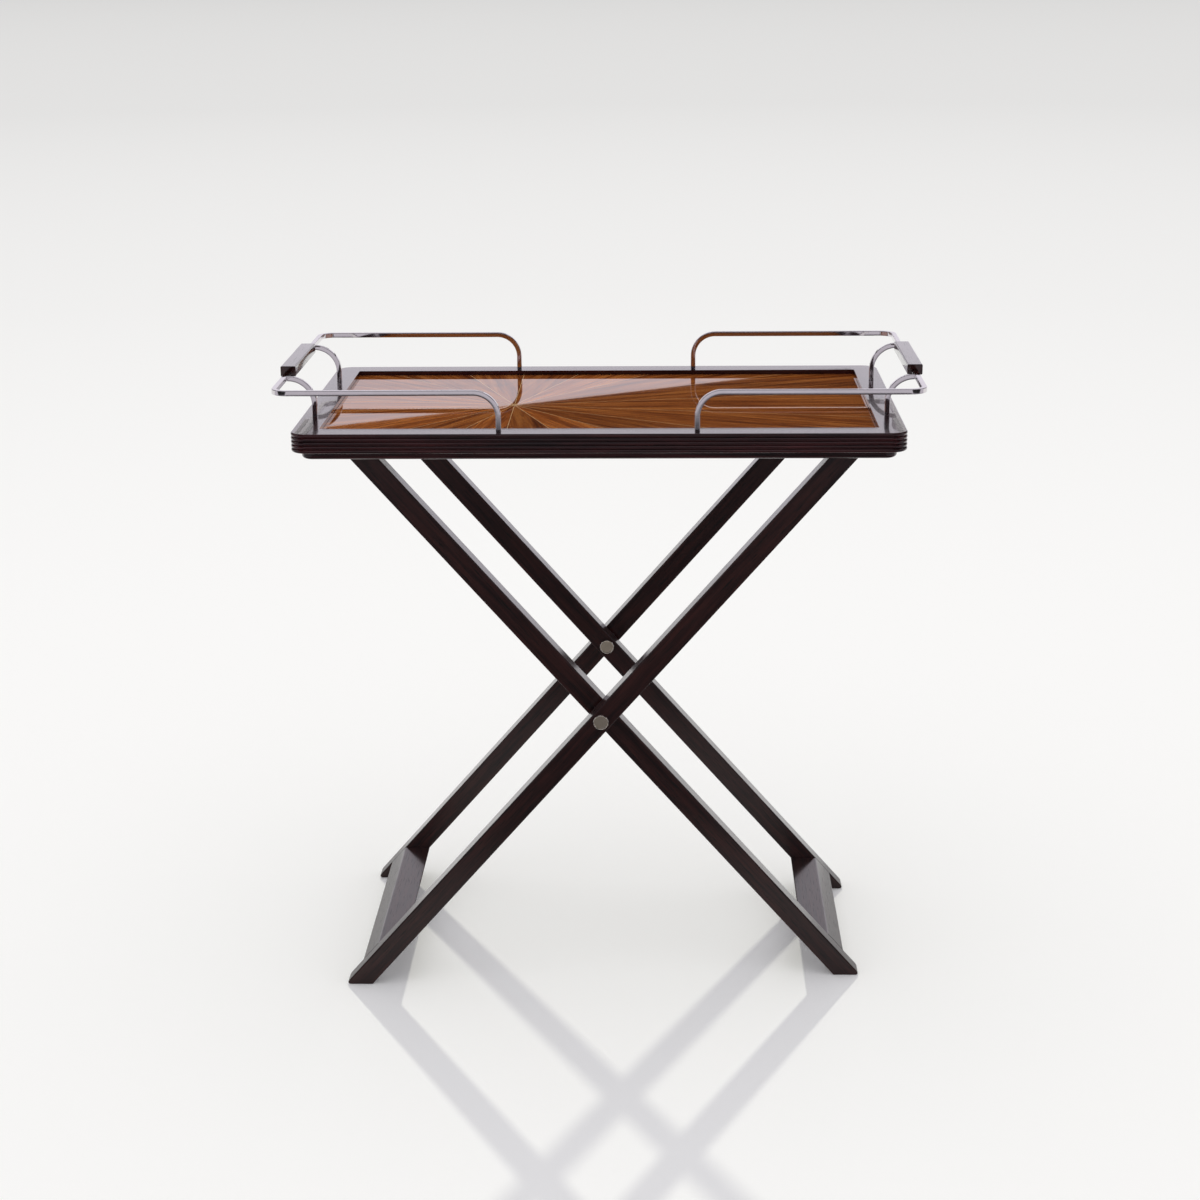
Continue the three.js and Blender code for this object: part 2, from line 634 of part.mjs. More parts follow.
// The wood grip: it sits over the end bar, which lies in a groove in its underside.
function grip(side) {
  const underside = RAIL_AXIS_Z - BAR_SIZE / 2;
  const outline = roundedOutline(rectangleCorners(GRIP_WIDTH, GRIP_HEIGHT), GRIP_EDGE);
  const body = prismAlongY(outline, GRIP_LENGTH, 0).translate(side * END_BAR_X, 0, underside + GRIP_HEIGHT / 2);
  const room = BAR_SIZE / 2 + SEAT_GAP;
  const low = new THREE.Vector3(side * END_BAR_X - room, -GRIP_LENGTH / 2 - OVERRUN, underside - OVERRUN);
  const high = new THREE.Vector3(side * END_BAR_X + room, GRIP_LENGTH / 2 + OVERRUN, RAIL_AXIS_Z + room);
  const headTop = underside + SMALL_HEAD_HEIGHT;
  const holes = gripScrewPlaces(side).map(({ x, y }) =>
    rodAlongZ(SMALL_SCREW_DIAMETER + 2 * SEAT_GAP, RAIL_AXIS_Z, headTop + GRIP_SCREW_LENGTH + SEAT_GAP, x, y),
  );
  return carve(body, { cut: [block(low, high), ...holes] });
}

function gripScrewPlaces(side) {
  return [-1, 1].map((end) => ({ end, x: side * END_BAR_X, y: (end * GRIP_SCREW_SPACING) / 2 }));
}

function addHandles() {
  const barBottom = RAIL_AXIS_Z - BAR_SIZE / 2;
  const headTop = barBottom + SMALL_HEAD_HEIGHT;
  for (const [name, side] of [["left", -1], ["right", 1]]) {
    const feet = uprights.filter((upright) => upright.name.startsWith(`rail_${name}`));
    const gripScrews = gripScrewPlaces(side);
    const screwHoles = gripScrews.flatMap(({ x, y }) => [
      rodAlongZ(SMALL_SCREW_DIAMETER + 2 * SEAT_GAP, barBottom - OVERRUN, RAIL_AXIS_Z + BAR_SIZE, x, y),
      rodAlongZ(SMALL_HEAD_DIAMETER + 2 * SEAT_GAP, barBottom - OVERRUN, headTop + SEAT_GAP, x, y),
    ]);
    const rail = carve(bentBar(railPath(side)), { cut: [...feet.map(footHole), ...screwHoles] });
    place(tray, `rail_${name}`, rail, POLISHED_METAL);
    place(tray, `grip_${name}`, grip(side), EBONISED_WOOD);
    for (const { end, x, y } of gripScrews) {
      const shape = screw(SMALL_SCREW_DIAMETER, GRIP_SCREW_LENGTH, SMALL_HEAD_DIAMETER, SMALL_HEAD_HEIGHT, x, y, headTop);
      place(tray, `grip_screw_${name}_${end < 0 ? "front" : "back"}`, shape, STEEL);
    }
  }
}

function addUprightPieces() {
  const headTop = RIM_UNDERSIDE + POST_HEAD_HEIGHT + SEAT_GAP;
  const length = RIM_TOP + SEAT_GAP + POST_SCREW_REACH - headTop;
  for (const upright of uprights) {
    const { name, x, y } = upright;
    if (name.startsWith("arch")) {
      const shape = carve(bentBar(archPath(Math.sign(x), y)), { cut: [footHole(upright)] });
      place(tray, name, shape, POLISHED_METAL);
    }
    const shape = screw(POST_SCREW_DIAMETER, length, POST_HEAD_DIAMETER, POST_HEAD_HEIGHT, x, y, headTop);
    place(tray, `post_screw_${name}`, shape, STEEL);
  }
}

addFrame(outerFrame, "outer", 1, OUTER_LEG_Y);
addFrame(innerFrame, "inner", -1, INNER_LEG_Y);
addPivot("front", -1);
addPivot("back", 1);
addRim();
place(tray, "tray_base", trayBase(), LACQUERED_RIM);
const coreTop = PANEL_TOP - VENEER_THICKNESS - SEAT_GAP;
place(tray, "panel_core", wellBoard(RIM_UNDERSIDE, coreTop), BOARD_WOOD);
place(tray, "sunburst_veneer", wellBoard(PANEL_TOP - VENEER_THICKNESS, PANEL_TOP), WALNUT_VENEER);
addCleats();
addHandles();
addUprightPieces();

export default table;
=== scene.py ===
# %% [markdown]
# # A folding serving table
# The table is a dark lacquered tray with a reeded edge, a sunburst walnut panel, bent metal rails and wood
# grips, on an X stand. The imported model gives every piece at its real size. This script gives it its finish,
# and rebuilds the pieces whose round edges and bends a coarse solid can't show.

import math

import bmesh
import bpy
from mathutils import Matrix, Vector


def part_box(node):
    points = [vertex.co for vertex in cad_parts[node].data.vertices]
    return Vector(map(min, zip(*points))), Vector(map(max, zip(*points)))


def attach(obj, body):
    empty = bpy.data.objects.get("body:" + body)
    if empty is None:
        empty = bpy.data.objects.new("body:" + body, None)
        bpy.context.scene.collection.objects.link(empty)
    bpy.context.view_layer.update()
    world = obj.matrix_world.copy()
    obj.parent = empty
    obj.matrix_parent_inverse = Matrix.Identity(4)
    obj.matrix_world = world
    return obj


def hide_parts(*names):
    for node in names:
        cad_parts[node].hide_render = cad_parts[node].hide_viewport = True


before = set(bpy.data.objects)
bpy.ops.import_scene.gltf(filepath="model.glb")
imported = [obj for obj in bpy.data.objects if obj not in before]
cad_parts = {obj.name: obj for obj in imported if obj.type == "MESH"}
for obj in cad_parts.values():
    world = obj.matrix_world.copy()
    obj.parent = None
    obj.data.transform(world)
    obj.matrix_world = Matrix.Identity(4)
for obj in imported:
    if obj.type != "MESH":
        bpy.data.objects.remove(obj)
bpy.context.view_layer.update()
MM = 0.001

# %% [markdown]
# ## The camera
# The camera was worked out from the legs, the well of the tray and its rim, by least squares, before any
# modelling. It stands 2.6 m in front of the table, a little to the right, and looks down by about 17 degrees.
# A real camera is written as a place, three turns and a focal length, so those five are named here.

# %% Set the camera
CAMERA_PLACE = Vector((0.0747, -2.6347, 1.2334))
LOOK_DOWN = 0.29124
LOOK_LEFT = 0.03025
CAMERA_ROLL = -0.00893
FOCAL_PIXELS = 2205.06
IMAGE_PIXELS = 1200
SENSOR_WIDTH = 36

forward = Vector((
    -math.sin(LOOK_LEFT) * math.cos(LOOK_DOWN),
    math.cos(LOOK_LEFT) * math.cos(LOOK_DOWN),
    -math.sin(LOOK_DOWN),
))
level_right = Vector((math.cos(LOOK_LEFT), math.sin(LOOK_LEFT), 0))
level_up = level_right.cross(forward)
right = level_right * math.cos(CAMERA_ROLL) + level_up * math.sin(CAMERA_ROLL)
up = level_up * math.cos(CAMERA_ROLL) - level_right * math.sin(CAMERA_ROLL)

camera_data = bpy.data.cameras.new("camera")
camera_data.sensor_width = SENSOR_WIDTH
camera_data.lens = FOCAL_PIXELS / IMAGE_PIXELS * SENSOR_WIDTH
camera = bpy.data.objects.new("camera", camera_data)
turn = Matrix((right, up, -forward)).transposed()
camera.matrix_world = Matrix.Translation(CAMERA_PLACE) @ turn.to_4x4()
bpy.context.scene.collection.objects.link(camera)
bpy.context.scene.camera = camera
print("Focal length", round(camera_data.lens, 1), "mm")

# %% [markdown]
# ## Short helpers for node trees
# Every finish below is a small tree of nodes, and a few helpers keep the trees readable. The first adds a
# node and sets its inputs. The next ones add one kind of node each: maths, a mapped range, vector maths, a
# colour ramp or a blend. The last ones start a material, add a bump or a clear coat to it, and name the
# sockets of a node group.

# %% Helpers that build node trees
def add_node(tree, kind, inputs=None, **settings):
    node = tree.nodes.new(kind)
    for name, value in settings.items():
        setattr(node, name, value)
    for name, value in (inputs or {}).items():
        if isinstance(value, bpy.types.NodeSocket):
            tree.links.new(value, node.inputs[name])
        else:
            node.inputs[name].default_value = value
    return node


def maths(tree, operation, *values):
    node = tree.nodes.new("ShaderNodeMath")
    node.operation = operation
    for socket, value in zip(node.inputs, values):
        if isinstance(value, bpy.types.NodeSocket):
            tree.links.new(value, socket)
        else:
            socket.default_value = value
    return node.outputs[0]


def map_range(tree, value, start, end, top=1.0):
    limits = {"Value": value, "From Min": start, "From Max": end, "To Max": top}
    return add_node(tree, "ShaderNodeMapRange", limits).outputs["Result"]


def vector_maths(tree, operation, first, second=(0, 0, 0)):
    return add_node(tree, "ShaderNodeVectorMath", {0: first, 1: second}, operation=operation)


def ramp(tree, factor, stops):
    node = tree.nodes.new("ShaderNodeValToRGB")
    tree.links.new(factor, node.inputs["Fac"])
    elements = node.color_ramp.elements
    while len(elements) < len(stops):
        elements.new(0.5)
    for element, (place, colour) in zip(elements, stops):
        element.position = place
        element.color = (*colour, 1)
    return node.outputs["Color"]


def blend_colours(tree, factor, first, second, mode="MIX"):
    node = tree.nodes.new("ShaderNodeMix")
    node.data_type = "RGBA"
    node.blend_type = mode
    sockets = (node.inputs[0], node.inputs[6], node.inputs[7])
    for socket, value in zip(sockets, (factor, first, second)):
        if isinstance(value, bpy.types.NodeSocket):
            tree.links.new(value, socket)
        elif socket.type == "RGBA":
            socket.default_value = (*value, 1)
        else:
            socket.default_value = value
    return node.outputs[2]


def new_material(name):
    material = bpy.data.materials.new(name)
    material.use_nodes = True
    tree = material.node_tree
    shader = tree.nodes["Principled BSDF"]
    return material, tree, shader


def add_bump(tree, shader, height, strength, distance, invert=False):
    inputs = {"Height": height, "Strength": strength, "Distance": distance}
    bump = add_node(tree, "ShaderNodeBump", inputs, invert=invert)
    tree.links.new(bump.outputs["Normal"], shader.inputs["Normal"])


def clear_coat(shader, index, roughness):
    shader.inputs["Coat Weight"].default_value = 1.0
    shader.inputs["Coat IOR"].default_value = index
    shader.inputs["Coat Roughness"].default_value = roughness


def group_sockets(group, direction, sockets):
    for name, kind in sockets:
        group.interface.new_socket(name, in_out=direction, socket_type=f"NodeSocket{kind}")


# %% [markdown]
# ## Wood grain as one shared group
# All the wood here is cut along the grain, so its figure is long thin streaks with short dark pores in them.
# Noise that is stretched along the grain gives both. The group takes coordinates whose X already runs along
# the grain, so each piece only has to turn its own coordinates.

# %% The grain group
ALONG_SHARE = 0.045
FINE_STREAKS = 4.3
BROAD_PART = 0.62
FIGURE_LIMITS = (0.36, 0.64)
PORE_LIMITS = (0.60, 0.70)


def make_grain_group():
    group = bpy.data.node_groups.new("wood_grain", "ShaderNodeTree")
    group_sockets(group, "INPUT", [
        ("Vector", "Vector"), ("Streaks Per Metre", "Float"), ("Pores Per Metre", "Float"),
    ])
    group_sockets(group, "OUTPUT", [("Figure", "Float"), ("Pores", "Float")])
    start = group.nodes.new("NodeGroupInput")
    end = group.nodes.new("NodeGroupOutput")
    streaks = start.outputs["Streaks Per Metre"]
    squeezed = vector_maths(group, "MULTIPLY", start.outputs["Vector"], (ALONG_SHARE, 1.0, 1.0))
    broad = add_node(
        group, "ShaderNodeTexNoise",
        {"Vector": squeezed.outputs[0], "Scale": streaks, "Detail": 5.0, "Distortion": 0.4},
    )
    fine_scale = maths(group, "MULTIPLY", streaks, FINE_STREAKS)
    fine = add_node(
        group, "ShaderNodeTexNoise",
        {"Vector": squeezed.outputs[0], "Scale": fine_scale, "Detail": 3.0},
    )
    mixed = maths(group, "ADD", maths(group, "MULTIPLY", broad.outputs["Fac"], BROAD_PART),
                  maths(group, "MULTIPLY", fine.outputs["Fac"], 1 - BROAD_PART))
    figure = map_range(group, mixed, *FIGURE_LIMITS)
    pore_noise = add_node(
        group, "ShaderNodeTexNoise",
        {"Vector": squeezed.outputs[0], "Scale": start.outputs["Pores Per Metre"], "Detail": 1.0},
    )
    pores = map_range(group, pore_noise.outputs["Fac"], *PORE_LIMITS)
    group.links.new(figure, end.inputs["Figure"])
    group.links.new(pores, end.inputs["Pores"])
    return group


GRAIN = make_grain_group()


def turned_coordinates(tree, turn_by=(0, 0, 0), centre=(0, 0, 0)):
    place = tree.nodes.new("ShaderNodeTexCoord")
    shifted = vector_maths(tree, "SUBTRACT", place.outputs["Object"], centre)
    turned = add_node(
        tree, "ShaderNodeVectorRotate",
        {"Vector": shifted.outputs[0], "Rotation": turn_by},
        rotation_type="EULER_XYZ",
    )
    return turned.outputs[0]


def add_grain(tree, vector, streaks, pores):
    node = tree.nodes.new("ShaderNodeGroup")
    node.node_tree = GRAIN
    tree.links.new(vector, node.inputs["Vector"])
    node.inputs["Streaks Per Metre"].default_value = streaks
    node.inputs["Pores Per Metre"].default_value = pores
    return node.outputs["Figure"], node.outputs["Pores"]


# %% [markdown]
# ## Ebonised wood
# The stand is an open-grained wood stained almost black: the pores stay visible as fine dark dashes, and the
# wood glows a little red where light catches it. A thin satin coat over it turns the narrow upper faces of
# the legs pale at a low angle. The legs lean both ways, so the same finish is made once for each grain
# direction. The grips wear the same stain under a more polished coat.

# %% The ebonised wood finishes
LEG_SLANT = math.radians(41.2)
EBONY_DARK = (0.0085, 0.0030, 0.0034)
EBONY_WARM = (0.0320, 0.0085, 0.0072)
PORE_COLOUR = (0.0015, 0.0010, 0.0010)
LAYER_IOR = 1.36


def ebonised_wood(name, turn_by, smoothest=0.28, pore_depth=0.25, coat_roughness=0.15):
    material, tree, shader = new_material(name)
    vector = turned_coordinates(tree, turn_by)
    figure, pores = add_grain(tree, vector, streaks=170.0, pores=900.0)
    stain = blend_colours(tree, figure, EBONY_DARK, EBONY_WARM)
    colour = blend_colours(tree, maths(tree, "MULTIPLY", pores, 0.8), stain, PORE_COLOUR)
    tree.links.new(colour, shader.inputs["Base Color"])
    roughness = maths(tree, "ADD", maths(tree, "MULTIPLY", pores, 0.2), smoothest)
    tree.links.new(roughness, shader.inputs["Roughness"])
    add_bump(tree, shader, pores, pore_depth, 0.2 * MM, invert=True)
    shader.inputs["IOR"].default_value = LAYER_IOR
    clear_coat(shader, LAYER_IOR, coat_roughness)
    return material


ALONG_Z = math.pi / 2
EBONY_OUTER = ebonised_wood("ebony_rising_legs", (0, ALONG_Z - LEG_SLANT, 0))
EBONY_INNER = ebonised_wood("ebony_falling_legs", (0, ALONG_Z + LEG_SLANT, 0))
EBONY_ACROSS = ebonised_wood("ebony_cross_pieces", (0, 0, -math.pi / 2))
GRIP_GLOSS = ebonised_wood(
    "ebony_grips_polished", (0, 0, -math.pi / 2),
    smoothest=0.12, pore_depth=0.05, coat_roughness=0.06,
)

# %% [markdown]
# ## Lacquer over the rim
# The rim is nearly black with a hint of red in the hollows, under a thick clear lacquer. The lacquer is a
# coat on the shader. Both layers have a low refractive index: seen straight on the reeds stay dark, and at a
# low angle the flat top still mirrors a pale room strongly. The grain runs along each side, so the
# coordinates swap at the mitres.

# %% The rim lacquer
BACK_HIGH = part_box("rim_back")[1]
TRAY_HIGH = Vector((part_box("rim_right")[1].x, BACK_HIGH.y, BACK_HIGH.z))
LACQUER_DARK = (0.0055, 0.0016, 0.0022)
LACQUER_WARM = (0.0380, 0.0060, 0.0070)


def rim_lacquer():
    material, tree, shader = new_material("gloss_lacquer")
    place = tree.nodes.new("ShaderNodeTexCoord").outputs["Object"]
    parts = add_node(tree, "ShaderNodeSeparateXYZ", {0: place})
    from_end = maths(tree, "SUBTRACT", TRAY_HIGH.x, maths(tree, "ABSOLUTE", parts.outputs["X"]))
    from_side = maths(tree, "SUBTRACT", TRAY_HIGH.y, maths(tree, "ABSOLUTE", parts.outputs["Y"]))
    is_end = maths(tree, "LESS_THAN", from_end, from_side)
    swapped = add_node(
        tree, "ShaderNodeCombineXYZ",
        {"X": parts.outputs["Y"], "Y": parts.outputs["X"], "Z": parts.outputs["Z"]},
    )
    vector = add_node(tree, "ShaderNodeMix", data_type="VECTOR")
    tree.links.new(is_end, vector.inputs[0])
    tree.links.new(place, vector.inputs[4])
    tree.links.new(swapped.outputs[0], vector.inputs[5])
    figure, pores = add_grain(tree, vector.outputs[1], streaks=120.0, pores=500.0)
    colour = blend_colours(tree, figure, LACQUER_DARK, LACQUER_WARM)
    colour = blend_colours(tree, maths(tree, "MULTIPLY", pores, 0.5), colour, PORE_COLOUR)
    tree.links.new(colour, shader.inputs["Base Color"])
    ripple = add_node(tree, "ShaderNodeTexNoise", {"Vector": place, "Scale": 38.0, "Detail": 1.0})
    add_bump(tree, shader, ripple.outputs["Fac"], strength=0.03, distance=0.6 * MM)
    shader.inputs["Roughness"].default_value = 0.22
    shader.inputs["IOR"].default_value = LAYER_IOR
    clear_coat(shader, LAYER_IOR, roughness=0.03)
    return material


LACQUER = rim_lacquer()

# %% [markdown]
# ## The sunburst veneer
# Veneer leaves, cut as narrow wedges, meet at one point left of the middle, with a pale stringing line in
# each joint. A wedge's number comes from its angle about that point. Its own coordinates run along the wedge,
# so the grain in each leaf points at the centre, and its number picks a tone and a different bit of veneer.

# %% The sunburst group and its finish
BURST_CENTRE = (-0.1058, -0.0167, 0)
LEAF_COUNT = 18
LINE_HALF_WIDTH = 0.35 * MM
COUNT_START = 2.5 * math.pi
LEAF_APART = 0.73
WALNUT_DARK = (0.110, 0.0250, 0.0050)
WALNUT_MID = (0.300, 0.0800, 0.0140)
WALNUT_LIGHT = (0.500, 0.1750, 0.0400)
STRINGING = (0.72, 0.50, 0.27)


def make_burst_group():
    group = bpy.data.node_groups.new("sunburst_leaves", "ShaderNodeTree")
    group_sockets(group, "INPUT", [("Vector", "Vector"), ("Leaves", "Float"), ("Line Half Width", "Float")])
    group_sockets(group, "OUTPUT", [("Leaf Vector", "Vector"), ("Leaf Tone", "Float"), ("Line", "Float")])
    start = group.nodes.new("NodeGroupInput")
    end = group.nodes.new("NodeGroupOutput")
    parts = add_node(group, "ShaderNodeSeparateXYZ", {0: start.outputs["Vector"]})
    x, y = parts.outputs["X"], parts.outputs["Y"]
    angle = maths(group, "ARCTAN2", y, x)
    wedge = maths(group, "DIVIDE", math.tau, start.outputs["Leaves"])
    # The joints run straight to the front and back, so the count starts a quarter turn round. A whole turn
    # more keeps it above zero.
    turns = maths(group, "DIVIDE", maths(group, "ADD", angle, COUNT_START), wedge)
    number = maths(group, "FLOOR", turns)
    share = maths(group, "FRACT", turns)
    counted = maths(group, "MULTIPLY", maths(group, "ADD", number, 0.5), wedge)
    middle = maths(group, "SUBTRACT", counted, COUNT_START)
    cosine, sine = maths(group, "COSINE", middle), maths(group, "SINE", middle)
    along = maths(group, "ADD", maths(group, "MULTIPLY", x, cosine), maths(group, "MULTIPLY", y, sine))
    across = maths(group, "SUBTRACT", maths(group, "MULTIPLY", y, cosine), maths(group, "MULTIPLY", x, sine))
    layer = maths(group, "MULTIPLY", number, LEAF_APART)
    leaf = add_node(group, "ShaderNodeCombineXYZ", {"X": along, "Y": across, "Z": layer})
    tone = add_node(group, "ShaderNodeTexWhiteNoise", {"W": number}, noise_dimensions="1D")
    squares = maths(group, "ADD", maths(group, "MULTIPLY", x, x), maths(group, "MULTIPLY", y, y))
    radius = maths(group, "SQRT", squares)
    edge_share = maths(group, "MINIMUM", share, maths(group, "SUBTRACT", 1.0, share))
    gap = maths(group, "MULTIPLY", maths(group, "MULTIPLY", edge_share, wedge), radius)
    line = maths(group, "LESS_THAN", gap, start.outputs["Line Half Width"])
    group.links.new(leaf.outputs[0], end.inputs["Leaf Vector"])
    group.links.new(tone.outputs["Value"], end.inputs["Leaf Tone"])
    group.links.new(line, end.inputs["Line"])
    return group


def sunburst_veneer():
    material, tree, shader = new_material("sunburst_walnut")
    vector = turned_coordinates(tree, centre=BURST_CENTRE)
    burst = tree.nodes.new("ShaderNodeGroup")
    burst.node_tree = make_burst_group()
    tree.links.new(vector, burst.inputs["Vector"])
    burst.inputs["Leaves"].default_value = LEAF_COUNT
    burst.inputs["Line Half Width"].default_value = LINE_HALF_WIDTH
    figure, pores = add_grain(tree, burst.outputs["Leaf Vector"], streaks=130.0, pores=900.0)
    walnut = ramp(tree, figure, [(0.0, WALNUT_DARK), (0.45, WALNUT_MID), (1.0, WALNUT_LIGHT)])
    walnut = blend_colours(tree, maths(tree, "MULTIPLY", pores, 0.55), walnut, WALNUT_DARK)
    shade = maths(tree, "ADD", maths(tree, "MULTIPLY", burst.outputs["Leaf Tone"], 0.42), 0.74)
    toned = blend_colours(tree, 1.0, walnut, (1, 1, 1), "MULTIPLY")
    grey = add_node(tree, "ShaderNodeCombineXYZ", {"X": shade, "Y": shade, "Z": shade})
    tree.links.new(grey.outputs[0], toned.node.inputs[7])
    colour = blend_colours(tree, maths(tree, "MULTIPLY", burst.outputs["Line"], 0.85), toned, STRINGING)
    tree.links.new(colour, shader.inputs["Base Color"])
    shader.inputs["Roughness"].default_value = 0.5
    shader.inputs["Specular IOR Level"].default_value = 0.0
    clear_coat(shader, index=2.0, roughness=0.012)
    return material


VENEER = sunburst_veneer()

# %% [markdown]
# ## Metals
# The rails are polished plated bar with a faint lilac tint. The pivot caps are dull aged metal with fine
# marks, worn bright on the raised rim, and the hidden screws are plain steel. Even polished metal has faint
# smears, so its roughness varies a little.

# %% The metal finishes
def metal(name, colour, roughness, smear, mark_scale, mark_depth):
    material, tree, shader = new_material(name)
    place = tree.nodes.new("ShaderNodeTexCoord").outputs["Object"]
    smears = add_node(tree, "ShaderNodeTexNoise", {"Vector": place, "Scale": 60.0, "Detail": 4.0})
    varied = maths(tree, "ADD", maths(tree, "MULTIPLY", smears.outputs["Fac"], smear), roughness)
    tree.links.new(varied, shader.inputs["Roughness"])
    tint = blend_colours(tree, smears.outputs["Fac"], colour, tuple(0.9 * part for part in colour))
    tree.links.new(tint, shader.inputs["Base Color"])
    marks = add_node(tree, "ShaderNodeTexNoise", {"Vector": place, "Scale": mark_scale, "Detail": 2.0})
    add_bump(tree, shader, marks.outputs["Fac"], mark_depth, 0.2 * MM)
    shader.inputs["Metallic"].default_value = 1.0
    return material


POLISHED = metal(
    "polished_plate", (0.76, 0.73, 0.75),
    roughness=0.04, smear=0.03, mark_scale=900.0, mark_depth=0.02,
)
AGED = metal(
    "darkened_cap", (0.76, 0.67, 0.54),
    roughness=0.34, smear=0.16, mark_scale=1400.0, mark_depth=0.30,
)
STEEL = metal(
    "plain_steel", (0.48, 0.48, 0.49),
    roughness=0.34, smear=0.12, mark_scale=1200.0, mark_depth=0.2,
)
CAP_RIM_COLOUR = (0.86, 0.81, 0.72)
CAP_RIM_ROUGHNESS = 0.13
CAP_RIM_SHARES = (0.83, 0.87)


def polish_cap_rim(material, node):
    # All four caps share one axis, so the box of one cap is enough to find the rim of each.
    low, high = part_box(node)
    radius = (high.x - low.x) / 2
    tree = material.node_tree
    shader = tree.nodes["Principled BSDF"]
    place = tree.nodes.new("ShaderNodeTexCoord").outputs["Object"]
    from_axis = vector_maths(tree, "SUBTRACT", place, (low + high) / 2)
    across = vector_maths(tree, "MULTIPLY", from_axis.outputs[0], (1, 0, 1))
    distance = vector_maths(tree, "LENGTH", across.outputs[0]).outputs["Value"]
    on_rim = map_range(tree, distance, CAP_RIM_SHARES[0] * radius, CAP_RIM_SHARES[1] * radius)
    disc_colour = shader.inputs["Base Color"].links[0].from_socket
    disc_roughness = shader.inputs["Roughness"].links[0].from_socket
    tree.links.new(blend_colours(tree, on_rim, disc_colour, CAP_RIM_COLOUR), shader.inputs["Base Color"])
    less_rough = maths(tree, "MULTIPLY", on_rim, maths(tree, "SUBTRACT", disc_roughness, CAP_RIM_ROUGHNESS))
    tree.links.new(maths(tree, "SUBTRACT", disc_roughness, less_rough), shader.inputs["Roughness"])


polish_cap_rim(AGED, "pivot_cap_front_outer")


BOARD_DARK = (0.22, 0.13, 0.07)
BOARD_LIGHT = (0.36, 0.24, 0.14)
BOARD_PORE = (0.1, 0.06, 0.03)


def board_wood():
    material, tree, shader = new_material("plain_board")
    figure, pores = add_grain(tree, turned_coordinates(tree), streaks=60.0, pores=300.0)
    colour = blend_colours(tree, figure, BOARD_DARK, BOARD_LIGHT)
    colour = blend_colours(tree, maths(tree, "MULTIPLY", pores, 0.4), colour, BOARD_PORE)
    tree.links.new(colour, shader.inputs["Base Color"])
    shader.inputs["Roughness"].default_value = 0.6
    return material


BOARD = board_wood()

# %% [markdown]
# ## Finishes on the pieces that stay as they are
# The legs, stretchers, bolts and screws have the right shape already, so they only take a finish. Each name
# begins with what the piece is, which is enough to choose by.

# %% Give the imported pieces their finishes
FINISH_BY_START = [
    ("outer_leg", EBONY_OUTER),
    ("inner_leg", EBONY_INNER),
    ("outer_", EBONY_ACROSS),
    ("inner_", EBONY_ACROSS),
    ("tray_cleat", EBONY_ACROSS),
    ("grip_screw", STEEL),
    ("grip", GRIP_GLOSS),
    ("pivot_cap", AGED),
    ("pivot", STEEL),
    ("rim", LACQUER),
    ("tray_base", LACQUER),
    ("panel_core", BOARD),
    ("sunburst_veneer", VENEER),
    ("cleat_screw", STEEL),
    ("post_screw", STEEL),
    ("rail", POLISHED),
    ("arch", POLISHED),
]
for node_name, node_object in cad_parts.items():
    finish = next(material for start, material in FINISH_BY_START if node_name.startswith(start))
    node_object.data.materials.clear()
    node_object.data.materials.append(finish)

# %% [markdown]
# ## Finishing a mesh
# Rebuilt pieces are made at the origin with their place in the mesh. This helper merges doubles, turns all
# faces outwards, shades the piece smooth and keeps the edges sharp where two faces meet at a real corner.
# Large faces get more say in the shading than the narrow ones of a rounded edge, so a flat face stays flat to
# the eye.

# %% The mesh helper
MERGE_WITHIN = 1e-6
COLLAPSE_WITHIN = 1e-7


def finish_mesh(mesh_builder, name, material, body, replaced, sharp_degrees):
    bmesh.ops.remove_doubles(mesh_builder, verts=mesh_builder.verts, dist=MERGE_WITHIN)
    bmesh.ops.dissolve_degenerate(mesh_builder, dist=COLLAPSE_WITHIN, edges=mesh_builder.edges)
    bmesh.ops.recalc_face_normals(mesh_builder, faces=mesh_builder.faces)
    sharp_angle = math.radians(sharp_degrees)
    for face in mesh_builder.faces:
        face.smooth = True
    for edge in mesh_builder.edges:
        edge.smooth = len(edge.link_faces) == 2 and edge.calc_face_angle(0) < sharp_angle
    mesh = bpy.data.meshes.new(name)
    mesh_builder.to_mesh(mesh)
    mesh_builder.free()
    mesh.materials.append(material)
    piece = bpy.data.objects.new(name, mesh)
    bpy.context.scene.collection.objects.link(piece)
    weighting = piece.modifiers.new("flat faces stay flat", "WEIGHTED_NORMAL")
    weighting.keep_sharp = True
    evaluated = piece.evaluated_get(bpy.context.evaluated_depsgraph_get())
    piece.data = bpy.data.meshes.new_from_object(evaluated)
    piece.modifiers.clear()
    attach(piece, body)
    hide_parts(*replaced)
    print(name, len(mesh.polygons), "faces")


def sweep_rings(rings, closed_loop, capped=False):
    builder = bmesh.new()
    made = [[builder.verts.new(point) for point in ring] for ring in rings]
    count = len(made)
    for i in range(count if closed_loop else count - 1):
        first, second = made[i], made[(i + 1) % count]
        for j in range(len(first)):
            k = (j + 1) % len(first)
            builder.faces.new((first[j], first[k], second[k], second[j]))
    if capped:
        builder.faces.new(made[0])
        builder.faces.new(reversed(made[-1]))
    return builder


# %% [markdown]
# ## The bent rails and arches
# Each rail is one square bar with eased edges, bent round four corners. Curve to Mesh sweeps a rounded square
# along a line, and Fillet Curve turns its corners into bends, so the path needs only its corner points. The
# posts bend wider than the corners over the tray's ends, and each corner's bend is stored as its radius.

# %% A node tree that bends a bar
arch_low, arch_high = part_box("arch_left_front")
BAR_SIZE = arch_high.y - arch_low.y
BAR_EDGE = 0.7 * MM
EDGE_STEPS = 3
BEND_STEPS = 14


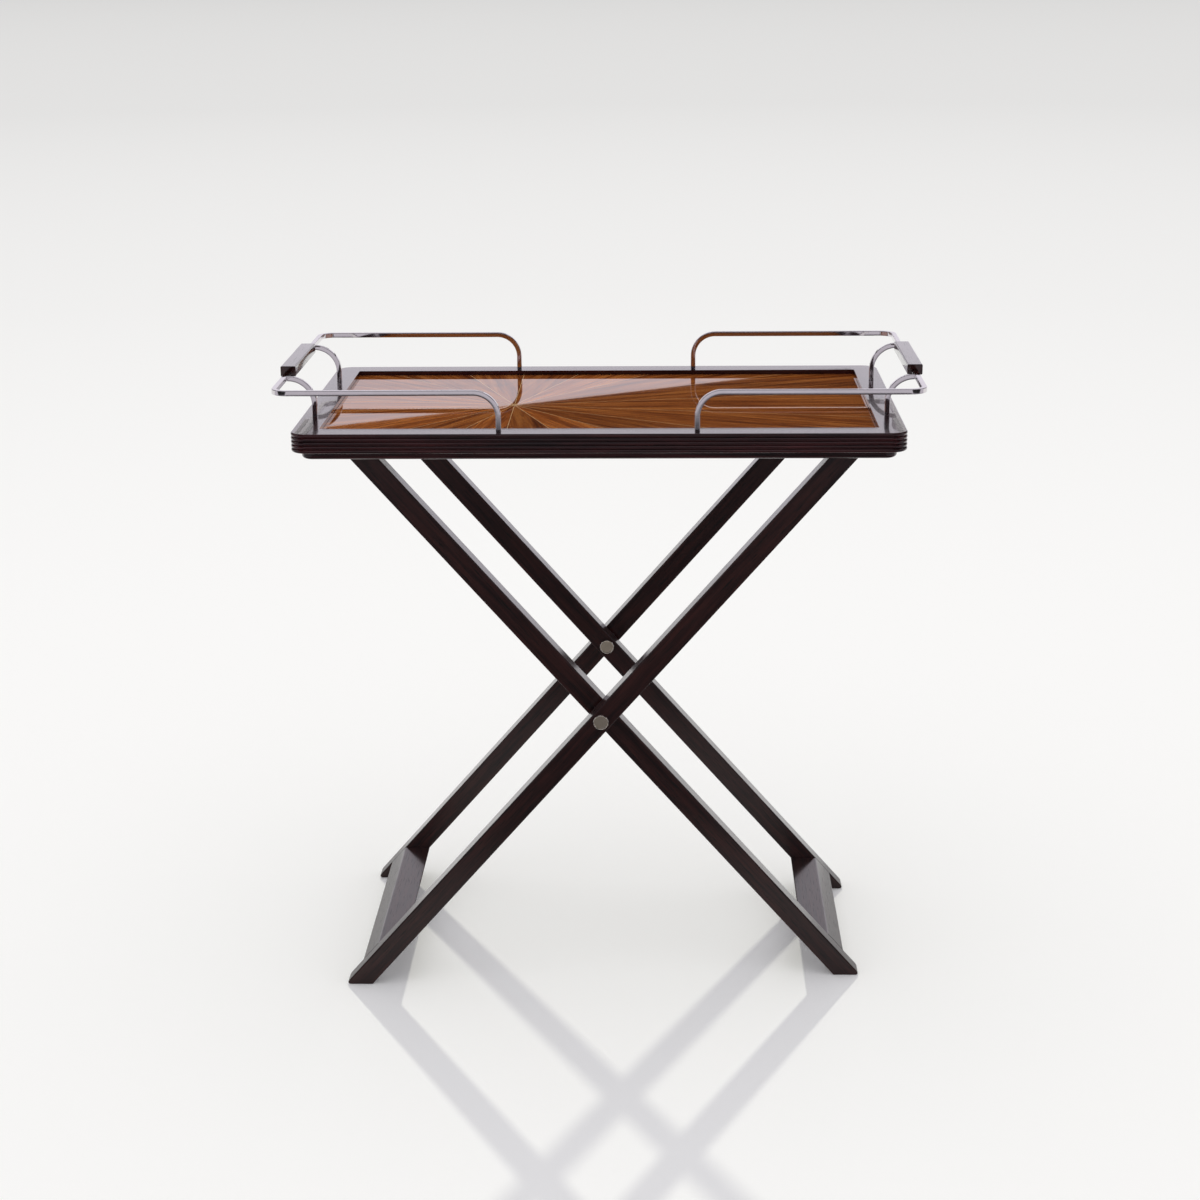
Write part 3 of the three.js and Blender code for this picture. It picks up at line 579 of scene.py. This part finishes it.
def bent_bar_tree():
    tree = bpy.data.node_groups.new("bent_bar", "GeometryNodeTree")
    group_sockets(tree, "INPUT", [
        ("Geometry", "Geometry"), ("Bar Size", "Float"), ("Edge Radius", "Float"),
        ("Bend Steps", "Int"), ("Finish", "Material"),
    ])
    group_sockets(tree, "OUTPUT", [("Geometry", "Geometry")])
    start = tree.nodes.new("NodeGroupInput")
    end = tree.nodes.new("NodeGroupOutput")
    bend = tree.nodes.new("GeometryNodeInputRadius")
    filleted = add_node(
        tree, "GeometryNodeFilletCurve",
        {"Curve": start.outputs["Geometry"], "Radius": bend.outputs[0], "Count": start.outputs["Bend Steps"]},
        mode="POLY",
    )
    plain = add_node(tree, "GeometryNodeSetCurveRadius", {"Curve": filleted.outputs[0], "Radius": 1.0})
    square = add_node(
        tree, "GeometryNodeCurvePrimitiveQuadrilateral",
        {"Width": start.outputs["Bar Size"], "Height": start.outputs["Bar Size"]},
    )
    rounded = add_node(
        tree, "GeometryNodeFilletCurve",
        {"Curve": square.outputs[0], "Radius": start.outputs["Edge Radius"], "Count": EDGE_STEPS},
        mode="POLY",
    )
    swept = add_node(
        tree, "GeometryNodeCurveToMesh",
        {"Curve": plain.outputs[0], "Profile Curve": rounded.outputs[0], "Fill Caps": True},
    )
    real = add_node(tree, "GeometryNodeRealizeInstances", {0: swept.outputs[0]})
    painted = add_node(
        tree, "GeometryNodeSetMaterial",
        {"Geometry": real.outputs[0], "Material": start.outputs["Finish"]},
    )
    tree.links.new(painted.outputs[0], end.inputs[0])
    return tree


BENT_BAR = bent_bar_tree()


def bent_bar(name, corners, bends, replaced):
    line = bpy.data.curves.new(name + "_path", "CURVE")
    line.dimensions = "3D"
    spline = line.splines.new("POLY")
    spline.points.add(len(corners) - 1)
    for point, corner, bend in zip(spline.points, corners, [0, *bends, 0]):
        point.co = (*corner, 1)
        point.radius = bend
    path = bpy.data.objects.new(name + "_path", line)
    bpy.context.scene.collection.objects.link(path)
    modifier = path.modifiers.new("bend", "NODES")
    modifier.node_group = BENT_BAR
    items = BENT_BAR.interface.items_tree
    sockets = {item.name: item.identifier for item in items if item.in_out == "INPUT"}
    modifier[sockets["Bar Size"]] = BAR_SIZE
    modifier[sockets["Edge Radius"]] = BAR_EDGE
    modifier[sockets["Bend Steps"]] = BEND_STEPS
    modifier[sockets["Finish"]] = POLISHED
    evaluated = path.evaluated_get(bpy.context.evaluated_depsgraph_get())
    swept = bpy.data.meshes.new_from_object(evaluated)
    builder = bmesh.new()
    builder.from_mesh(swept)
    bpy.data.objects.remove(path)
    finish_mesh(builder, name, POLISHED, "tray", [replaced], sharp_degrees=50)


# %% Bend the two rails and the four arches
POST_BEND = 28 * MM
END_BEND = 17 * MM
ARCH_BEND = 30 * MM
for side_name, side in (("left", -1), ("right", 1)):
    rail_low, rail_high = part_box(f"rail_{side_name}")
    outer_x = rail_low.x if side < 0 else rail_high.x
    inner_x = rail_high.x if side < 0 else rail_low.x
    end_x = outer_x - side * BAR_SIZE / 2
    post_x = inner_x + side * BAR_SIZE / 2
    rail_y = rail_high.y - BAR_SIZE / 2
    rail_z = rail_high.z - BAR_SIZE / 2
    corners = [
        (post_x, -rail_y, rail_low.z), (post_x, -rail_y, rail_z), (end_x, -rail_y, rail_z),
        (end_x, rail_y, rail_z), (post_x, rail_y, rail_z), (post_x, rail_y, rail_low.z),
    ]
    bends = [POST_BEND, END_BEND, END_BEND, POST_BEND]
    bent_bar(f"bent_rail_{side_name}", corners, bends, f"rail_{side_name}")
    for end_name in ("front", "back"):
        arch = f"arch_{side_name}_{end_name}"
        low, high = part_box(arch)
        middle_y = (low.y + high.y) / 2
        start_x = low.x if side < 0 else high.x
        foot_x = (high.x if side < 0 else low.x) + side * BAR_SIZE / 2
        arch_corners = [
            (start_x, middle_y, rail_z), (foot_x, middle_y, rail_z), (foot_x, middle_y, low.z),
        ]
        bent_bar(f"bent_{arch}", arch_corners, [ARCH_BEND], arch)

# %% [markdown]
# ## The wood grips
# A grip is a short square bar of the same dark wood, with softened edges and a groove underneath that drops
# over the metal bar. Its section has the rounded corners and the groove in one outline. Six such sections are
# joined, and those towards the two ends are slightly smaller, which gives the softened ends.

# %% Make the two grips
GRIP_ROUND = 1.6 * MM
GRIP_END_EDGE = 0.9 * MM
SMALLEST_ROUND = 0.3 * MM
FIRST_SHARE = 0.3
GROOVE_LOOSE = 0.6 * MM
GROOVE_LOWER = 0.3 * MM
ROUND_STEPS = 5


def grip_section(width, height, groove_width, groove_height, inset):
    half, tall = width / 2 - inset, height - inset
    points = []
    round_radius = max(GRIP_ROUND - inset, SMALLEST_ROUND)
    centres = [(half, inset, -90), (half, tall, 0), (-half, tall, 90), (-half, inset, 180)]
    for x, z, start_angle in centres:
        middle_x = x - math.copysign(round_radius, x)
        middle_z = z + round_radius if z == inset else z - round_radius
        for step in range(ROUND_STEPS + 1):
            angle = math.radians(start_angle + 90 * step / ROUND_STEPS)
            point_x = middle_x + round_radius * math.cos(angle)
            point_z = middle_z + round_radius * math.sin(angle)
            points.append((point_x, point_z))
    groove = groove_width / 2
    points += [(-groove, inset), (-groove, groove_height), (groove, groove_height), (groove, inset)]
    return points


for side_name in ("left", "right"):
    low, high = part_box(f"grip_{side_name}")
    middle_x = (low.x + high.x) / 2
    groove = BAR_SIZE + GROOVE_LOOSE
    first_step = FIRST_SHARE * GRIP_END_EDGE
    rings = []
    for y, inset in (
        (low.y, GRIP_END_EDGE), (low.y + first_step, first_step), (low.y + GRIP_END_EDGE, 0),
        (high.y - GRIP_END_EDGE, 0), (high.y - first_step, first_step), (high.y, GRIP_END_EDGE),
    ):
        section = grip_section(high.x - low.x, high.z - low.z, groove, groove - GROOVE_LOWER, inset)
        rings.append([Vector((middle_x + x, y, low.z + z)) for x, z in section])
    finish_mesh(
        sweep_rings(rings, closed_loop=False, capped=True), f"wood_grip_{side_name}", GRIP_GLOSS, "tray",
        [f"grip_{side_name}"], sharp_degrees=40,
    )

# %% [markdown]
# ## The reeded rim
# The moulding has five half-round reeds outside, a flat top and a straight wall down to the panel. Its
# section is swept once round the tray. Outside, the corners are round; inside, the wall turns a sharp corner,
# so at a corner only the outer points fan out while the inner points stay where they are.

# %% Sweep the rim's section round the tray
REED_COUNT = 5
REED_DEPTH = 1.7 * MM
REED_STEPS = 10
CORNER_RADIUS = 20 * MM
CORNER_STEPS = 18
WELL_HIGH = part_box("sunburst_veneer")[1]
SEAT_GAP = 0.3 * MM
CORNER_SIGNS = [(1, 1), (-1, 1), (-1, -1), (1, -1)]


def rim_section(width, height):
    pitch = height / REED_COUNT
    root = width - REED_DEPTH
    points = [(0, height), (0, 0), (root, 0)]
    for reed in range(REED_COUNT):
        for step in range(1, REED_STEPS + 1):
            angle = math.pi * (step / REED_STEPS - 0.5)
            out = root + REED_DEPTH * math.cos(angle)
            points.append((out, pitch * (reed + 0.5) + pitch / 2 * math.sin(angle)))
    return points


def rim_rings():
    low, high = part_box("rim_front")
    width = TRAY_HIGH.x - WELL_HIGH.x - SEAT_GAP
    section = rim_section(width, high.z - low.z)
    well = Vector((TRAY_HIGH.x - width, TRAY_HIGH.y - width))
    centre = Vector((TRAY_HIGH.x - CORNER_RADIUS, TRAY_HIGH.y - CORNER_RADIUS))
    rings = []
    for quarter, (sign_x, sign_y) in enumerate(CORNER_SIGNS):
        for step in range(CORNER_STEPS + 1):
            angle = (quarter + step / CORNER_STEPS) * math.pi / 2
            ring = []
            for out, z in section:
                if out == 0:
                    x, y = sign_x * well.x, sign_y * well.y
                else:
                    reach = out - (width - CORNER_RADIUS)
                    x = sign_x * centre.x + reach * math.cos(angle)
                    y = sign_y * centre.y + reach * math.sin(angle)
                ring.append(Vector((x, y, low.z + z)))
            rings.append(ring)
    return rings


finish_mesh(
    sweep_rings(rim_rings(), closed_loop=True), "reeded_rim", LACQUER, "tray",
    ["rim_front", "rim_back", "rim_left", "rim_right"], sharp_degrees=45,
)

# %% [markdown]
# ## The base board
# Under the rim sits a smaller board with round corners and a well rounded lower edge. It is a stack of
# rounded rectangles, each a little smaller towards the bottom, closed by a flat face above and below.

# %% Stack the base board
def rounded_rectangle(half_x, half_y, radius, z, steps=12):
    ring = []
    for quarter, (sign_x, sign_y) in enumerate(CORNER_SIGNS):
        for step in range(steps + 1):
            angle = (quarter + step / steps) * math.pi / 2
            x = sign_x * (half_x - radius) + radius * math.cos(angle)
            y = sign_y * (half_y - radius) + radius * math.sin(angle)
            ring.append(Vector((x, y, z)))
    return ring


base_low, base_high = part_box("tray_base")
BASE_EDGE = 4 * MM
BASE_CORNER = 14 * MM
BASE_STEPS = 8
base_rings = []
for step in range(BASE_STEPS + 1):
    angle = math.pi / 2 * step / BASE_STEPS
    inset = BASE_EDGE * (1 - math.sin(angle))
    z = base_low.z + BASE_EDGE * (1 - math.cos(angle))
    ring = rounded_rectangle(base_high.x - inset, base_high.y - inset, BASE_CORNER - inset, z)
    base_rings.append(ring)
base_rings.append(rounded_rectangle(base_high.x, base_high.y, BASE_CORNER, base_high.z))
finish_mesh(
    sweep_rings(base_rings, closed_loop=False, capped=True), "base_board", LACQUER, "tray",
    ["tray_base"], sharp_degrees=40,
)

# %% [markdown]
# ## The pivot caps
# Each bolt end wears a round cap: a flat disc with a raised, rounded rim. It is turned like on a lathe, by
# spinning a short profile about the bolt's axis. The disc is left plain.

# %% Turn the four caps
CAP_PROFILE_SHARES = [
    (1.00, 0.00), (1.00, 0.66), (0.988, 0.82), (0.962, 0.94), (0.925, 1.00), (0.890, 0.98),
    (0.865, 0.90), (0.850, 0.80), (0.835, 0.74), (0.60, 0.75), (0.30, 0.76),
]
CAP_SIDES = 72


def turned_cap(name, node):
    low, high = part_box(node)
    radius = (high.x - low.x) / 2
    centre_z = (low.z + high.z) / 2
    outward = 1 if node in ("pivot_cap_back_outer", "pivot_cap_front_inner") else -1
    seat = low.y if outward > 0 else high.y
    height = high.y - low.y
    builder = bmesh.new()
    rings = []
    for out_share, height_share in CAP_PROFILE_SHARES:
        ring = []
        for side in range(CAP_SIDES):
            angle = math.tau * side / CAP_SIDES
            x, z = radius * out_share * math.cos(angle), radius * out_share * math.sin(angle)
            y = seat + outward * height * height_share
            ring.append(builder.verts.new((x, y, centre_z + z)))
        rings.append(ring)
    for inner, outer in zip(rings[1:], rings):
        for j in range(CAP_SIDES):
            k = (j + 1) % CAP_SIDES
            builder.faces.new((outer[j], outer[k], inner[k], inner[j]))
    builder.faces.new(rings[0])
    peak = builder.verts.new((0, seat + outward * height * CAP_PROFILE_SHARES[-1][1], centre_z))
    for j in range(CAP_SIDES):
        builder.faces.new((rings[-1][j], rings[-1][(j + 1) % CAP_SIDES], peak))
    finish_mesh(builder, name, AGED, "outer_frame", [node], sharp_degrees=50)


for place_name in ("front_outer", "front_inner", "back_outer", "back_inner"):
    turned_cap(f"turned_cap_{place_name}", f"pivot_cap_{place_name}")

# %% [markdown]
# ## The floor
# The floor is a wide pale sheet whose colour darkens slowly with distance, so the picture has no horizon. That
# colour is painted light: palest next to the table and fading like light falling off. The sheet also glows
# faintly, painted light that lifts the shade under and around the table. What it shows to mirrors is set
# apart, a glow of its own, because polished metal and lacquer get their shape from light and dark areas around
# them.
# Mirrors see the lit sheet behind the table and half of it underneath. In front lies a dim ring, paler out to
# the sides, and past it pale lanes with dark corners between them, up to where all of it is pale again. The
# rails mirror a lane along their length, and the dark corners where they bend.

# %% Lay the floor
floor_mesh = bpy.data.meshes.new("floor")
FLOOR_REACH = 60
corner_places = [(-FLOOR_REACH, -FLOOR_REACH, 0), (FLOOR_REACH, -FLOOR_REACH, 0),
                 (FLOOR_REACH, FLOOR_REACH, 0), (-FLOOR_REACH, FLOOR_REACH, 0)]
floor_mesh.from_pydata(corner_places, [], [(0, 1, 2, 3)])
floor = bpy.data.objects.new("floor", floor_mesh)
bpy.context.scene.collection.objects.link(floor)

DIM_RING = 0.06
PALE_SIDE = 0.34
PALE_LANE = 0.62
DARK_CORNER = 0.02
UNDER_SHARE = 0.5
# Each fade is the distance where that part of the floor begins to show and the one where it shows fully.
UNDER_FADE = (0.70, 0.45)
BEHIND_FADE = (0.2, 0.5)
BESIDE_FADE = (0.7, 1.2)
FAR_FADE = (3.5, 3.75)
LANE_FADE = (1.7, 1.3)
DISTANT_FADE = (5.5, 6.5)
floor_material, floor_tree, floor_shader = new_material("floor_sheet")
floor_place = floor_tree.nodes.new("ShaderNodeTexCoord").outputs["Object"]
floor_parts = add_node(floor_tree, "ShaderNodeSeparateXYZ", {0: floor_place})
from_table = vector_maths(floor_tree, "LENGTH", floor_place).outputs["Value"]
distance_share = maths(floor_tree, "DIVIDE", from_table, FLOOR_REACH)
# The sheet's colour holds painted light: palest next to the table, then slowly darker with distance like light
# falling off.
sheet_colour_painted_falloff = ramp(floor_tree, distance_share, [
    (0.0, (0.94, 0.94, 0.94)), (0.04, (0.90, 0.90, 0.90)), (0.09, (0.84, 0.84, 0.84)),
    (0.25, (0.73, 0.73, 0.73)), (1.0, (0.64, 0.64, 0.64)),
])
floor_tree.links.new(sheet_colour_painted_falloff, floor_shader.inputs["Base Color"])
floor_shader.inputs["Roughness"].default_value = 0.9
# A faint glow on the sheet is painted light: it lifts the shade under and around the table.
floor_shader.inputs["Emission Color"].default_value = (1, 1, 1, 1)
floor_shader.inputs["Emission Strength"].default_value = 0.05
floor_shader.inputs["Specular IOR Level"].default_value = 0.0

under = map_range(floor_tree, from_table, *UNDER_FADE)
behind_table = map_range(floor_tree, floor_parts.outputs["Y"], *BEHIND_FADE)
near = maths(floor_tree, "MAXIMUM", maths(floor_tree, "MULTIPLY", under, UNDER_SHARE), behind_table)
far = map_range(floor_tree, from_table, *FAR_FADE)
across_floor = maths(floor_tree, "ABSOLUTE", floor_parts.outputs["X"])
along_floor = maths(floor_tree, "ABSOLUTE", floor_parts.outputs["Y"])
lane = map_range(floor_tree, maths(floor_tree, "MINIMUM", across_floor, along_floor), *LANE_FADE)
distant = map_range(floor_tree, from_table, *DISTANT_FADE)
lit = maths(floor_tree, "MULTIPLY", maths(floor_tree, "MAXIMUM", lane, distant), PALE_LANE - DARK_CORNER)
far_light = maths(floor_tree, "MULTIPLY", far, maths(floor_tree, "ADD", lit, DARK_CORNER))
beside = map_range(floor_tree, across_floor, *BESIDE_FADE)
near_light = maths(floor_tree, "ADD", maths(floor_tree, "MULTIPLY", beside, PALE_SIDE), DIM_RING)
ring_light = maths(floor_tree, "MULTIPLY", maths(floor_tree, "SUBTRACT", 1.0, far), near_light)
mirror_light = maths(floor_tree, "ADD", far_light, ring_light)
mirror_floor = add_node(
    floor_tree, "ShaderNodeEmission",
    {"Color": (0.97, 0.92, 1.0, 1), "Strength": mirror_light},
)
glossy_ray = floor_tree.nodes.new("ShaderNodeLightPath").outputs["Is Glossy Ray"]
mirror_share = maths(floor_tree, "MULTIPLY", maths(floor_tree, "SUBTRACT", 1.0, near), glossy_ray)
floor_mix = add_node(floor_tree, "ShaderNodeMixShader",
                     {0: mirror_share, 1: floor_shader.outputs[0], 2: mirror_floor.outputs[0]})
floor_out = next(node for node in floor_tree.nodes if node.type == "OUTPUT_MATERIAL")
floor_tree.links.new(floor_mix.outputs[0], floor_out.inputs["Surface"])
floor_mesh.materials.append(floor_material)

# %% [markdown]
# ## Sun and sky
# A low sun behind the table throws the crossed shadow of the stand towards the viewer, and the sky fills the
# rest softly, a little bluer than the sun. Mirrors see a pale wall of light behind the table. A black flag
# with a slanted lower edge hangs in front of that wall: its reflection keeps the near half of the panel a
# deep brown and ends in a straight line through the middle of the sunburst. The other sides are dark, each
# with a soft box. A dim light overhead and low bands to the sides give the rails something to mirror in other
# views.

# %% Light the scene
SUN_ELEVATION = math.radians(30.2)
SUN_SIDEWAYS = 0.03
sun_data = bpy.data.lights.new("sun", "SUN")
sun_data.energy = 1.3
sun_data.angle = math.radians(1.6)
sun_data.color = (1.0, 1.0, 0.86)
sun = bpy.data.objects.new("sun", sun_data)
sun_heading = Vector((SUN_SIDEWAYS, -math.cos(SUN_ELEVATION), -math.sin(SUN_ELEVATION)))
sun.rotation_euler = sun_heading.to_track_quat("-Z", "Y").to_euler()
sun.visible_glossy = False
bpy.context.scene.collection.objects.link(sun)

world = bpy.data.worlds.new("studio")
world.use_nodes = True
bpy.context.scene.world = world
sky = world.node_tree
sky_out = next(node for node in sky.nodes if node.type == "OUTPUT_WORLD")
fill = next(node for node in sky.nodes if node.type == "BACKGROUND")
fill.inputs["Color"].default_value = (0.985, 0.975, 1.0, 1)
fill.inputs["Strength"].default_value = 0.79
direction = sky.nodes.new("ShaderNodeTexCoord").outputs["Generated"]
sky_parts = add_node(sky, "ShaderNodeSeparateXYZ", {0: direction})
east, north, height = (sky_parts.outputs[axis] for axis in "XYZ")


def within(value, low, high, soft):
    rise = map_range(sky, value, low - soft, low + soft)
    fall = map_range(sky, value, high + soft, high - soft)
    return maths(sky, "MULTIPLY", rise, fall)


WALL_FADE = (0.70, 0.86)
WALL_HEIGHTS = (-1.0, 0.62, 0.12)
sideways = maths(sky, "ABSOLUTE", east)
behind_all = map_range(sky, north, *WALL_FADE)
wall = maths(sky, "MULTIPLY", behind_all, within(height, *WALL_HEIGHTS))
# Each edge of the flag is a plane through the scene's middle, written by its shares of east, north and up.
FLAG_EDGES = [
    (0.114, -0.198, 1.0),
    (0.0, 0.218, -1.0),
    (-1.0, 0.0, 0.453),
    (1.0, 0.0, 0.731),
]
FLAG_SHIFTS = [0.0, 0.0, 0.0001, -0.0001]
in_flag = maths(sky, "GREATER_THAN", north, 0.0)
for edge, shift in zip(FLAG_EDGES, FLAG_SHIFTS):
    lean = vector_maths(sky, "DOT_PRODUCT", direction, edge).outputs["Value"]
    in_flag = maths(sky, "MULTIPLY", in_flag, maths(sky, "GREATER_THAN", lean, shift))
wall = maths(sky, "MULTIPLY", wall, maths(sky, "SUBTRACT", 1.0, in_flag))
# Each soft box is a patch of directions: its limits across come first, and its limits in height second.
FRONT_BOX = ((-0.42, 0.30), (0.34, 0.60))
SIDE_BOX = ((-0.36, 0.24), (0.30, 0.52))
SIDE_FROM = 0.6
BOX_SOFTNESS = 0.02
OVERHEAD_FADE = (0.78, 0.86)
OVERHEAD_LIGHT = 0.24
BAND_FADE = (0.30, 0.42)
BAND_HEIGHTS = (0.08, 0.24, 0.03)
BAND_LIGHT = 0.5
BAND_UP_TO = 0.3


def soft_box(half, across, limits):
    across_limits, height_limits = limits
    in_width = within(across, *across_limits, BOX_SOFTNESS)
    in_height = within(height, *height_limits, BOX_SOFTNESS)
    return maths(sky, "MULTIPLY", half, maths(sky, "MULTIPLY", in_width, in_height))


front_box = soft_box(maths(sky, "LESS_THAN", north, 0.0), east, FRONT_BOX)
side_box = soft_box(maths(sky, "GREATER_THAN", sideways, SIDE_FROM), north, SIDE_BOX)
overhead = map_range(sky, height, *OVERHEAD_FADE, OVERHEAD_LIGHT)
to_side = map_range(sky, sideways, *BAND_FADE, BAND_LIGHT)
in_band = maths(sky, "MULTIPLY", within(height, *BAND_HEIGHTS), to_side)
low_band = maths(sky, "MULTIPLY", maths(sky, "LESS_THAN", north, BAND_UP_TO), in_band)
boxes = maths(sky, "MAXIMUM", maths(sky, "MAXIMUM", overhead, low_band),
              maths(sky, "MAXIMUM", front_box, side_box))
bright = maths(sky, "MAXIMUM", wall, boxes)
sky_colour = blend_colours(sky, bright, (0.014, 0.013, 0.015), (0.90, 0.86, 0.94))
mirrored = add_node(sky, "ShaderNodeBackground", {"Color": sky_colour, "Strength": 0.95})
seen = add_node(sky, "ShaderNodeBackground", {"Color": (0.64, 0.64, 0.64, 1), "Strength": 1.0})
paths = sky.nodes.new("ShaderNodeLightPath")
first_mix = add_node(sky, "ShaderNodeMixShader",
                     {0: paths.outputs["Is Glossy Ray"], 1: fill.outputs[0], 2: mirrored.outputs[0]})
second_mix = add_node(sky, "ShaderNodeMixShader",
                      {0: paths.outputs["Is Camera Ray"], 1: first_mix.outputs[0], 2: seen.outputs[0]})
sky.links.new(second_mix.outputs[0], sky_out.inputs["Surface"])

bpy.context.scene.view_settings.view_transform = "Standard"
